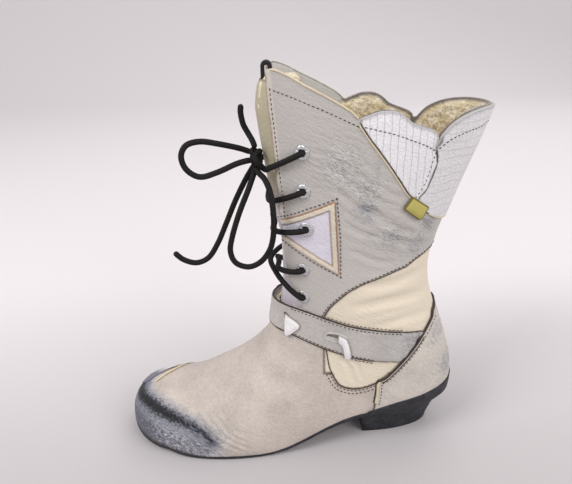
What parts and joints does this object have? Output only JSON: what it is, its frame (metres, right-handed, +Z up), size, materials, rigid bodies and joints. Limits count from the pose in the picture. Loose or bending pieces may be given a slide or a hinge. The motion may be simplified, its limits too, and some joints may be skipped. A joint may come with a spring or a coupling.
{
  "type": "mukluk boot",
  "caption": "Laced mid-height mukluk boot for the left foot, with a fleece-backed tongue, instep strap, flared cuff and low heel.",
  "frame": {"origin": "middle of the heel's underside, on the floor that the boot stands on", "axes": "+Z up, -X towards the toe, -Y towards the outer (lateral) side of the left foot"},
  "size_m": [0.2851, 0.1002, 0.3041],
  "materials": {
    "grey_leather": "worn warm grey leather, matt",
    "white_leather": "embossed off-white leather",
    "black_sole": "dark rubber, slightly scuffed",
    "fleece": "cream fleece pile",
    "lace": "round braided lace",
    "eyelet": "plated, rolled rim",
    "label": "blank olive tab"
  },
  "bodies": {
    "root": {"upper": "grey_leather", "outsole": "black_sole", "heel": "black_sole", "insole": "fleece", "tongue": "fleece", "pull_loop": "lace", "counter": "grey_leather", "instep_strap": "grey_leather", "toe_crescent": "white_leather", "cuff_back": "white_leather", "side_label": "label", "cuff_front_outer": "white_leather", "patch_outer": "white_leather", "thong_front_outer": "white_leather", "thong_rear_outer": "white_leather", "eyelet_outer_1": "eyelet", "eyelet_outer_2": "eyelet", "eyelet_outer_3": "eyelet", "eyelet_outer_4": "eyelet", "eyelet_outer_5": "eyelet", "cuff_front_inner": "white_leather", "patch_inner": "white_leather", "thong_front_inner": "white_leather", "thong_rear_inner": "white_leather", "eyelet_inner_1": "eyelet", "eyelet_inner_2": "eyelet", "eyelet_inner_3": "eyelet", "eyelet_inner_4": "eyelet", "eyelet_inner_5": "eyelet", "lace_bar_2": "lace", "lace_bar_3": "lace", "lace_cross": "lace", "lace_top_outer": "lace", "lace_top_inner": "lace", "lace_knot": "lace", "lace_loop_round": "lace", "lace_loop_long": "lace", "lace_end_short": "lace", "lace_end_long": "lace"}
  },
  "joints": []
}
